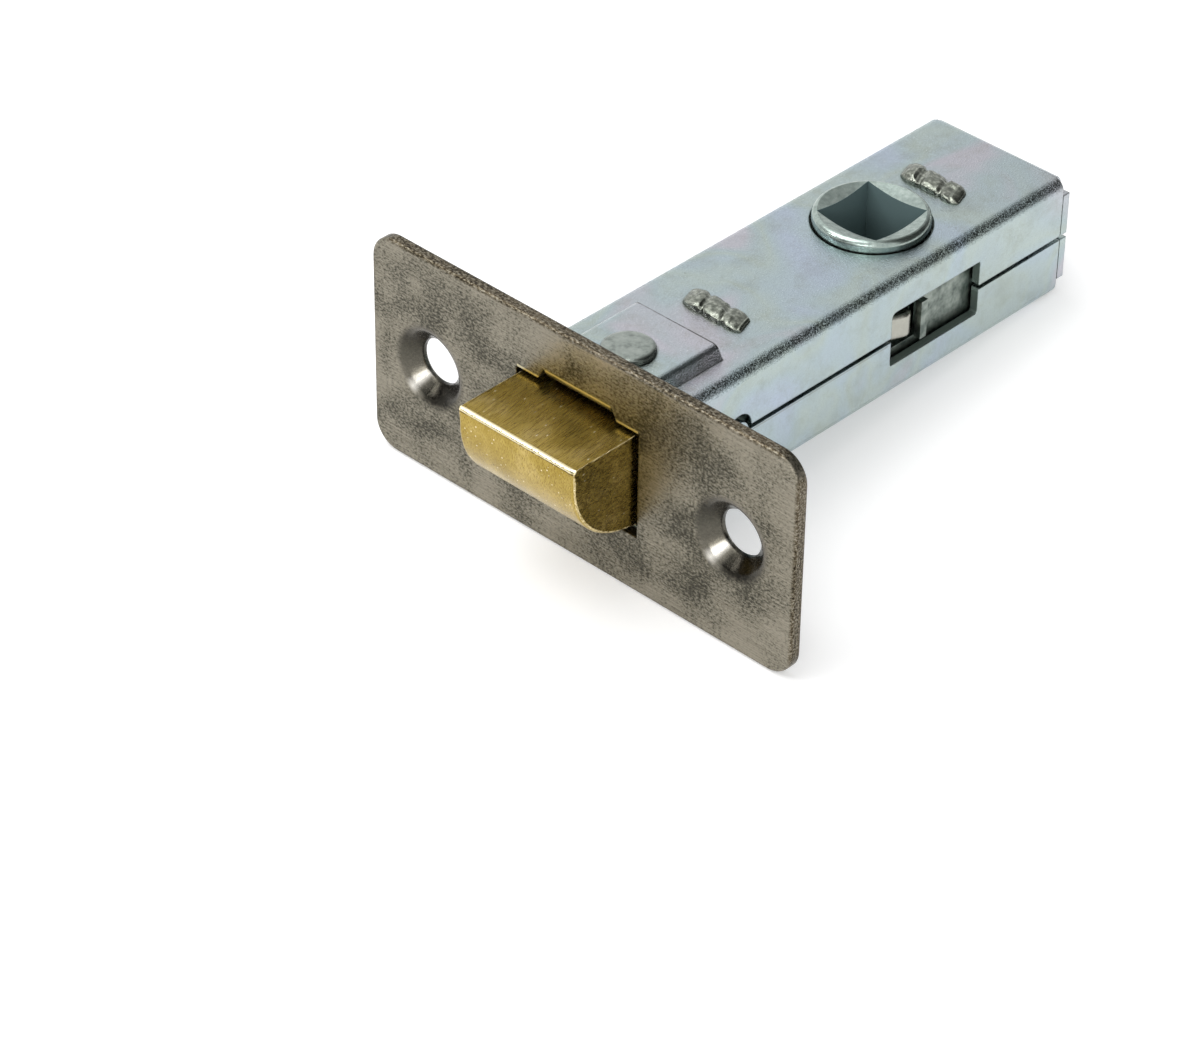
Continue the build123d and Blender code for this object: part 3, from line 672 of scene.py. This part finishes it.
# Bolt spring
# Oil-tempered spring wire, coiled with its end turns closed and ground flat. It sits in the bolt's bore
# and pushes against the front pillar, and moves with the bolt at one length.

SPRING_WIRE_MM = 0.7
SPRING_DIAMETER_MM = 8.0
SPRING_TURNS = 9
SPRING_CLOSED_TURNS = 1.0
DRAWN_MARK_MM = 0.3
STEPS_A_TURN = 40
WIRE_SIDES = 10

spring_wire, tree, shader = new_material("spring_wire_oil_tempered")
place = add(tree, "ShaderNodeTexCoord").outputs["Object"]
drawn = add(tree, "ShaderNodeTexNoise", {"Vector": place, "Scale": per_mm(DRAWN_MARK_MM), "Detail": 2.0})
tempered = ramp(tree, drawn.outputs["Fac"], [(0.4, "#55564f"), (0.6, "#7b7c74")])
tree.links.new(tempered, shader.inputs["Base Color"])
shader.inputs["Roughness"].default_value = 0.35

low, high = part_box("bolt_spring")
start, end = low.y / MM, high.y / MM
wire = SPRING_WIRE_MM / 2
coil = SPRING_DIAMETER_MM / 2 - wire
open_turns = SPRING_TURNS - 2 * SPRING_CLOSED_TURNS
open_length = end - start - 2 * wire - 2 * SPRING_CLOSED_TURNS * SPRING_WIRE_MM
rings = []
steps = SPRING_TURNS * STEPS_A_TURN
helix = bmesh.new()
for i in range(steps + 1):
    turn = SPRING_TURNS * i / steps
    climb = min(turn, SPRING_CLOSED_TURNS) + max(0.0, turn - SPRING_TURNS + SPRING_CLOSED_TURNS)
    opened = min(max(turn - SPRING_CLOSED_TURNS, 0.0), open_turns)
    y = start + wire + climb * SPRING_WIRE_MM + opened / open_turns * open_length
    angle = 2 * math.pi * turn
    ring = []
    for k in range(WIRE_SIDES):
        around = 2 * math.pi * k / WIRE_SIDES
        reach = coil + wire * math.cos(around)
        ring.append(helix.verts.new((
            reach * math.cos(angle) * MM, (y + wire * math.sin(around)) * MM,
            reach * math.sin(angle) * MM)))
    rings.append(ring)
for one, two in zip(rings, rings[1:]):
    for k in range(WIRE_SIDES):
        following = (k + 1) % WIRE_SIDES
        helix.faces.new((one[k], one[following], two[following], two[k]))
helix.faces.new(rings[0])
helix.faces.new(rings[-1])
spring = to_object(helix, "bolt_spring_coiled", spring_wire)
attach(spring, "bolt")
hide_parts("bolt_spring")
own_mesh(spring)


# Faceplate
# One blank of cold-rolled steel with pressed screw dimples, antiqued to a mottled grey-brown patina, then
# relieved, so it is lighter along its borders. The press burnished the dimples, and their reflections are
# painted in.

PLATE_HALF_MM = (29.0, 13.0)
SCREW_X_MM = 20.75
DIMPLE_RADIUS_MM = 4.9
HOLE_TOP_MM = (7.42, 6.28)
HOLE_HALF_MM = 8.3
NOTCH_MM = (4.5, 5.2)
ROLL_ABOVE_MM = 0.18
ROLL_WIDTH_MM = (0.03, 0.22)
EDGE_WEAR_MM = (0.1, 0.45)
PLATE_THICKNESS_MM = 1.3
BORDER_MM = 6.0
MOTTLE_MM = 6.5
SPECKLE_MM = 0.24
BRUSH_LENGTH_MM = 6.0
BRUSH_WIDTH_MM = 0.14
DIE_ROLL_MM = 0.32
PLATE_EDGE_MM = 0.05

patina, tree, shader = new_material("cold_rolled_steel_antiqued_and_relieved")
place = add(tree, "ShaderNodeTexCoord").outputs["Object"]
axes = add(tree, "ShaderNodeSeparateXYZ", {"Vector": place})


def distance_in(axis, half_mm):
    """How far inside the plate's border a point lies along one axis, in millimetres."""
    outward = add(tree, "ShaderNodeMath", {0: axis}, operation="ABSOLUTE")
    return add(tree, "ShaderNodeMath", {
        0: outward.outputs[0], 1: -per_mm(1), 2: half_mm}, operation="MULTIPLY_ADD").outputs[0]


nearest = add(tree, "ShaderNodeMath", {
    0: distance_in(axes.outputs["X"], PLATE_HALF_MM[0]),
    1: distance_in(axes.outputs["Z"], PLATE_HALF_MM[1])}, operation="MINIMUM")
relieved = add(tree, "ShaderNodeMapRange", {
    "Value": nearest.outputs[0], "From Min": 0.0, "From Max": BORDER_MM, "To Min": 0.2, "To Max": 0.0})
mottle = add(tree, "ShaderNodeTexNoise", {
    "Vector": place, "Scale": per_mm(MOTTLE_MM), "Detail": 3.0, "Roughness": 0.5, "Distortion": 0.4})
stretched = add(tree, "ShaderNodeMapping", {
    "Vector": place, "Scale": (per_mm(1.7 * SPECKLE_MM), per_mm(SPECKLE_MM), per_mm(SPECKLE_MM))})
speckle = add(tree, "ShaderNodeTexNoise", {
    "Vector": stretched.outputs[0], "Scale": 1.0, "Detail": 3.0, "Roughness": 0.7})
patchy = add(tree, "ShaderNodeMath", {0: mottle.outputs["Fac"], 1: relieved.outputs[0]}, operation="ADD")
clouded = add(tree, "ShaderNodeMath", {
    0: patchy.outputs[0], 1: 0.6, 2: speckle.outputs["Fac"]}, operation="MULTIPLY_ADD")
spotted = ramp(tree, clouded.outputs[0], [
    (0.67, "#403e36"), (0.77, "#625f54"), (0.86, "#878274"), (0.98, "#989284")])

brushed_along = add(tree, "ShaderNodeMapping", {
    "Vector": place, "Rotation": (0.0, math.radians(-4), 0.0),
    "Scale": (per_mm(BRUSH_LENGTH_MM), per_mm(BRUSH_WIDTH_MM), per_mm(BRUSH_WIDTH_MM))})
brush = add(tree, "ShaderNodeTexNoise", {"Vector": brushed_along.outputs[0], "Scale": 1.0, "Detail": 2.0})
brushed = add(tree, "ShaderNodeMix", {
    "Factor": 0.4, "A": spotted,
    "B": ramp(tree, brush.outputs["Fac"], [(0.35, "#9a958a"), (0.6, "#ffffff")])},
    data_type="RGBA", blend_type="MULTIPLY")

# The press has burnished the inside of each screw dimple. Its reflections are painted in by bearing round
# the
# screw: a bright painted highlight at the lower left, and painted shade below it, to the lower right and at
# the upper left
which = add(tree, "ShaderNodeMath", {0: axes.outputs["X"]}, operation="SIGN")
from_screw = add(tree, "ShaderNodeMath", {
    0: which.outputs[0], 1: -SCREW_X_MM * MM, 2: axes.outputs["X"]}, operation="MULTIPLY_ADD")
offset = add(tree, "ShaderNodeCombineXYZ", {"X": from_screw.outputs[0], "Z": axes.outputs["Z"]})
radius = add(tree, "ShaderNodeVectorMath", {0: offset.outputs[0]}, operation="LENGTH")
burnished = add(tree, "ShaderNodeMapRange", {
    "Value": radius.outputs["Value"],
    "From Min": (DIMPLE_RADIUS_MM - 0.6) * MM, "From Max": DIMPLE_RADIUS_MM * MM,
    "To Min": 0.2, "To Max": 0.36})
inside_dimple = add(tree, "ShaderNodeMapRange", {
    "Value": radius.outputs["Value"],
    "From Min": (DIMPLE_RADIUS_MM - 0.8) * MM, "From Max": (DIMPLE_RADIUS_MM + 0.3) * MM,
    "To Min": 0.9, "To Max": 0.0}, interpolation_type="SMOOTHSTEP")
bearing = add(tree, "ShaderNodeMath", {0: axes.outputs["Z"], 1: from_screw.outputs[0]}, operation="ARCTAN2")
round_screw = add(tree, "ShaderNodeMapRange", {
    "Value": bearing.outputs[0], "From Min": -math.pi, "From Max": math.pi})
painted_dimple_light = ramp(tree, round_screw.outputs[0], [
    (0.0, "#4d4b44"), (0.06, "#5a574f"), (0.11, "#6d695f"), (0.148, "#efebe2"), (0.18, "#837f74"),
    (0.215, "#3a3832"), (0.26, "#211f1c"), (0.34, "#1a1916"), (0.43, "#45423b"), (0.6, "#76716a"),
    (0.8, "#65615a"), (0.914, "#302e29"), (1.0, "#4d4b44")])
pressed = add(tree, "ShaderNodeMix", {
    "Factor": inside_dimple.outputs[0], "A": brushed.outputs["Result"], "B": painted_dimple_light}, data_type="RGBA")

# The punch has rolled the metal over above the bolt hole, and a pale highlight is painted along that roll
side = add(tree, "ShaderNodeMath", {0: axes.outputs["X"]}, operation="ABSOLUTE")
hole_top = add(tree, "ShaderNodeMapRange", {
    "Value": side.outputs[0], "From Min": NOTCH_MM[0] * MM, "From Max": NOTCH_MM[1] * MM,
    "To Min": HOLE_TOP_MM[0] * MM, "To Max": HOLE_TOP_MM[1] * MM}, interpolation_type="SMOOTHSTEP")
over = add(tree, "ShaderNodeMath", {0: axes.outputs["Z"], 1: hole_top.outputs[0]}, operation="SUBTRACT")
from_roll = add(tree, "ShaderNodeMath", {0: over.outputs[0], 1: ROLL_ABOVE_MM * MM}, operation="SUBTRACT")
off_roll = add(tree, "ShaderNodeMath", {0: from_roll.outputs[0]}, operation="ABSOLUTE")
rolled_band = add(tree, "ShaderNodeMapRange", {
    "Value": off_roll.outputs[0], "From Min": ROLL_WIDTH_MM[0] * MM, "From Max": ROLL_WIDTH_MM[1] * MM,
    "To Min": 0.75, "To Max": 0.0},
    interpolation_type="SMOOTHSTEP")
over_hole = add(tree, "ShaderNodeMath", {0: side.outputs[0], 1: HOLE_HALF_MM * MM}, operation="LESS_THAN")
roll_mask = add(tree, "ShaderNodeMath", {
    0: rolled_band.outputs[0], 1: over_hole.outputs[0]}, operation="MULTIPLY")
roll_highlighted = add(tree, "ShaderNodeMix", {
    "Factor": roll_mask.outputs[0], "A": pressed.outputs["Result"], "B": linear("#ddd3ab")},
    data_type="RGBA")

# The patina has gone from specks of the outer edges, and darkened between them
border = add(tree, "ShaderNodeMapRange", {
    "Value": nearest.outputs[0], "From Min": EDGE_WEAR_MM[0], "From Max": EDGE_WEAR_MM[1],
    "To Min": 0.9, "To Max": 0.0})
worn_border = add(tree, "ShaderNodeMix", {
    "Factor": border.outputs[0], "A": roll_highlighted.outputs["Result"],
    "B": ramp(tree, speckle.outputs["Fac"], [(0.42, "#7c7063"), (0.52, "#b8ae9c"), (0.62, "#ffffff")])},
    data_type="RGBA", blend_type="MULTIPLY")
tree.links.new(worn_border.outputs["Result"], shader.inputs["Base Color"])
plate_rough = add(tree, "ShaderNodeMath", {
    0: speckle.outputs["Fac"], 1: 0.12, 2: burnished.outputs[0]}, operation="MULTIPLY_ADD")
tree.links.new(plate_rough.outputs[0], shader.inputs["Roughness"])
rolled = add(tree, "ShaderNodeBevel", {"Radius": DIE_ROLL_MM * MM}, samples=8)
brush_bump = add(tree, "ShaderNodeBump", {
    "Height": brush.outputs["Fac"], "Strength": 0.4, "Distance": 0.006 * MM, "Normal": rolled.outputs[0]})
speckle_bump = add(tree, "ShaderNodeBump", {
    "Height": speckle.outputs["Fac"], "Strength": 0.6, "Distance": 0.025 * MM,
    "Normal": brush_bump.outputs[0]})
tree.links.new(speckle_bump.outputs[0], shader.inputs["Normal"])
dress("faceplate", patina, PLATE_EDGE_MM)


# Faceplate rivet
# A zinc-plated steel rivet that ties the faceplate's tongue to the case. The heading die has left a nearly
# flat top with a soft shoulder, and two fine rings round its side.

RIVET_SHANK_MM = 1.3
RIVET_COUNTERSINK_MM = 1.9
RIVET_HEAD_MM = 2.85
RIVET_HEAD_HEIGHT_MM = 0.75
RIVET_SIDE_MM = [
    (0, 0), (0, 0.14), (0.05, 0.18), (0.01, 0.24), (0.02, 0.32), (0.08, 0.37), (0.05, 0.43), (0.1, 0.52),
    (0.24, 0.62), (0.5, 0.69), (1.1, 0.73), (2.15, 0.745)]
RIVET_Y_MM = 7.3
RIVET_STAIN_MM = 0.9

headed_steel, tree, shader = new_material("zinc_plated_steel_cold_headed")
place = add(tree, "ShaderNodeTexCoord").outputs["Object"]
stained = add(tree, "ShaderNodeTexNoise", {
    "Vector": place, "Scale": per_mm(RIVET_STAIN_MM), "Detail": 5.0, "Roughness": 0.7})
rivet_tint = ramp(tree, stained.outputs["Fac"], [(0.36, "#7c837e"), (0.5, "#969e98"), (0.66, "#a4aba5")])
axes = add(tree, "ShaderNodeSeparateXYZ", {"Vector": place})
ahead = add(tree, "ShaderNodeMath", {0: axes.outputs["Y"], 1: RIVET_Y_MM * MM}, operation="SUBTRACT")
offset = add(tree, "ShaderNodeCombineXYZ", {"X": axes.outputs["X"], "Y": ahead.outputs[0]})
radius = add(tree, "ShaderNodeVectorMath", {0: offset.outputs[0]}, operation="LENGTH")
# Painted shade: a dark band round the foot of the head's side, where it meets the case
foot_shade = add(tree, "ShaderNodeMapRange", {
    "Value": radius.outputs["Value"],
    "From Min": (RIVET_HEAD_MM - 0.2) * MM, "From Max": (RIVET_HEAD_MM - 0.06) * MM,
    "To Min": 0.0, "To Max": 0.75})
foot_shaded = add(tree, "ShaderNodeMix", {
    "Factor": foot_shade.outputs[0], "A": rivet_tint, "B": linear("#4b504a")}, data_type="RGBA")
tree.links.new(foot_shaded.outputs["Result"], shader.inputs["Base Color"])
shader.inputs["Roughness"].default_value = 0.26
rivet_bump = add(tree, "ShaderNodeBump", {
    "Height": stained.outputs["Fac"], "Strength": 0.4, "Distance": 0.02 * MM})
tree.links.new(rivet_bump.outputs[0], shader.inputs["Normal"])

low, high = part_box("faceplate_rivet")
bottom, crown = low.z / MM, high.z / MM
seat = crown - RIVET_HEAD_HEIGHT_MM
head_profile = [(RIVET_HEAD_MM - inset, seat + rise) for inset, rise in RIVET_SIDE_MM]
shank_profile = [
    (RIVET_COUNTERSINK_MM, bottom),
    (RIVET_SHANK_MM, bottom + RIVET_COUNTERSINK_MM - RIVET_SHANK_MM),
    (RIVET_SHANK_MM, seat)]
outline = shank_profile + head_profile
turned = bmesh.new()
segments = 96
rings = []
for radius_mm, height_mm in outline:
    rings.append([turned.verts.new((
        radius_mm * math.cos(2 * math.pi * k / segments) * MM,
        (low.y + high.y) / 2 + radius_mm * math.sin(2 * math.pi * k / segments) * MM,
        height_mm * MM)) for k in range(segments)])
for one, two in zip(rings, rings[1:]):
    for k in range(segments):
        turned.faces.new((one[k], one[(k + 1) % segments], two[(k + 1) % segments], two[k]))
foot = turned.verts.new((0, (low.y + high.y) / 2, bottom * MM))
peak = turned.verts.new((0, (low.y + high.y) / 2, crown * MM))
for k in range(segments):
    turned.faces.new((foot, rings[0][(k + 1) % segments], rings[0][k]))
    turned.faces.new((peak, rings[-1][k], rings[-1][(k + 1) % segments]))
rivet_head = to_object(turned, "faceplate_rivet_headed", headed_steel)
rivet_head.modifiers.new("shading", "WEIGHTED_NORMAL")
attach(rivet_head, "case")
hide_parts("faceplate_rivet")


# Floor, lamps and camera
# The latch rests on the faceplate's lower edge and on the rear edge of its case, so the floor is a white
# sweep tilted to touch both. A large lamp hangs above, two small ones stand in front at either side, and
# two dark cards keep the folds readable.

plate_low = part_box("faceplate")[0]
case_low, case_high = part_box("lower_shell")
rise = math.atan2(case_low.z - plate_low.z, case_high.y - PLATE_THICKNESS_MM * MM)
FLOOR_SIZE = 6.0
FLOOR_GLOW = 0.38
WORLD_LIGHT = 0.55


def in_view(tree):
    """1 for what the camera sees, straight, in a reflection or through glass, and 0 for other rays."""
    path = add(tree, "ShaderNodeLightPath")
    seen = add(tree, "ShaderNodeMath", {
        0: path.outputs["Is Camera Ray"], 1: path.outputs["Is Glossy Ray"]}, operation="MAXIMUM")
    return add(tree, "ShaderNodeMath", {
        0: seen.outputs[0], 1: path.outputs["Is Transmission Ray"]}, operation="MAXIMUM").outputs[0]


white_sweep = bpy.data.materials.new("white_paper_sweep")
white_sweep.use_nodes = True
tree = white_sweep.node_tree
tree.nodes.clear()
lift = add(tree, "ShaderNodeMath", {0: in_view(tree), 1: FLOOR_GLOW}, operation="MULTIPLY")
paper = add(tree, "ShaderNodeBsdfDiffuse", {"Color": linear("#eeeeee")})
glow = add(tree, "ShaderNodeEmission", {"Color": (1, 1, 1, 1), "Strength": lift.outputs[0]})
both = add(tree, "ShaderNodeAddShader", {0: paper.outputs[0], 1: glow.outputs[0]})
add(tree, "ShaderNodeOutputMaterial", {"Surface": both.outputs[0]})

sweep = bmesh.new()
bmesh.ops.create_grid(sweep, x_segments=1, y_segments=1, size=FLOOR_SIZE / 2)
floor = to_object(sweep, "floor", white_sweep)
floor.rotation_euler = (rise, 0, 0)
floor.location = (0, PLATE_THICKNESS_MM * MM, plate_low.z)


def dark_card(name, tone, azimuths, elevations, soft, distance=0.55):
    """A curved dark card round the object, seen only in its reflections, with its far edge feathered."""
    card = bmesh.new()
    rows = []
    steps = 24
    for i in range(steps + 1):
        azimuth = math.radians(azimuths[0] + (azimuths[1] - azimuths[0]) * i / steps)
        row = []
        for elevation in elevations:
            e = math.radians(elevation)
            row.append(card.verts.new((
                distance * math.cos(e) * math.cos(azimuth), distance * math.cos(e) * math.sin(azimuth),
                distance * math.sin(e))))
        rows.append(row)
    for one, two in zip(rows, rows[1:]):
        for k in range(len(elevations) - 1):
            card.faces.new((one[k], two[k], two[k + 1], one[k + 1]))
    material = bpy.data.materials.new("matt_" + name)
    material.use_nodes = True
    nodes = material.node_tree
    nodes.nodes.clear()
    feather = add(nodes, "ShaderNodeAttribute", attribute_name="shade")
    clear = add(nodes, "ShaderNodeBsdfTransparent")
    matt = add(nodes, "ShaderNodeBsdfDiffuse", {"Color": linear(tone)})
    cut = add(nodes, "ShaderNodeMixShader", {
        0: feather.outputs["Fac"], 1: clear.outputs[0], 2: matt.outputs[0]})
    add(nodes, "ShaderNodeOutputMaterial", {"Surface": cut.outputs[0]})
    piece = to_object(card, name, material)
    shade = piece.data.attributes.new("shade", "FLOAT", "POINT")
    for k in range(len(piece.data.vertices)):
        from_end = (steps - k // len(elevations)) / steps * abs(azimuths[1] - azimuths[0])
        shade.data[k].value = min(1.0, from_end / soft)
    piece.visible_camera = False
    piece.visible_diffuse = False
    piece.visible_shadow = False


dark_card("card_right", "#4b4d4b", (8, 126), (2, 15, 30, 45, 60, 78), 42)
dark_card("card_left", "#2c2d2c", (266, 196), (20, 28, 36, 44), 12)


LAMP_AIM = Vector((0, 30 * MM, 0))


def soft_lamp(name, where, size, power):
    """A rectangular softbox that faces the latch."""
    light = bpy.data.lights.new(name, "AREA")
    light.shape = "RECTANGLE"
    light.size, light.size_y = size
    light.energy = power
    lamp = bpy.data.objects.new(name, light)
    bpy.context.scene.collection.objects.link(lamp)
    lamp.location = where
    lamp.rotation_mode = "QUATERNION"
    lamp.rotation_quaternion = (LAMP_AIM - Vector(where)).to_track_quat("-Z", "Y")


soft_lamp("softbox_above", (-0.37, -0.27, 1.11), (0.95, 0.8), 6.8)
soft_lamp("softbox_left", (-0.28, -0.3, 0.3), (0.08, 0.07), 0.26)
soft_lamp("softbox_front", (0.35, -0.62, 0.3), (0.3, 0.2), 0.8)

world = bpy.data.worlds.new("studio")
bpy.context.scene.world = world
world.use_nodes = True
tree = world.node_tree
tree.nodes.clear()
strength = add(tree, "ShaderNodeMapRange", {"Value": in_view(tree), "To Min": WORLD_LIGHT, "To Max": 1.0})
sky = add(tree, "ShaderNodeBackground", {"Color": (1, 1, 1, 1), "Strength": strength.outputs[0]})
add(tree, "ShaderNodeOutputWorld", {"Surface": sky.outputs[0]})

# The camera's place and lens were solved from the photograph's edges
CAMERA_AZIMUTH = math.radians(43.366)
CAMERA_ELEVATION = math.radians(36.614)
CAMERA_ROLL = math.radians(0.841)
CAMERA_DISTANCE = 440.44 * MM
CAMERA_AIM = (2.35 * MM, -7.51 * MM)
FOCAL_LENGTH_PX = 4440.3
FRAME_WIDTH_PX = 1200
SENSOR_WIDTH = 36.0

back = Vector((
    math.sin(CAMERA_AZIMUTH) * math.cos(CAMERA_ELEVATION),
    -math.cos(CAMERA_AZIMUTH) * math.cos(CAMERA_ELEVATION),
    math.sin(CAMERA_ELEVATION)))
right = Vector((0, 0, 1)).cross(back).normalized()
up = back.cross(right)
right, up = (
    math.cos(CAMERA_ROLL) * right + math.sin(CAMERA_ROLL) * up,
    math.cos(CAMERA_ROLL) * up - math.sin(CAMERA_ROLL) * right)
lens = bpy.data.cameras.new("camera")
lens.sensor_width = SENSOR_WIDTH
lens.lens = FOCAL_LENGTH_PX * SENSOR_WIDTH / FRAME_WIDTH_PX
lens.clip_start, lens.clip_end = 0.01, 20
camera = bpy.data.objects.new("camera", lens)
bpy.context.scene.collection.objects.link(camera)
place = right * CAMERA_AIM[0] + up * CAMERA_AIM[1] + back * CAMERA_DISTANCE
camera.matrix_world = Matrix.Translation(place) @ Matrix((right, up, back)).transposed().to_4x4()
bpy.context.scene.camera = camera
bpy.context.scene.view_settings.view_transform = "Standard"
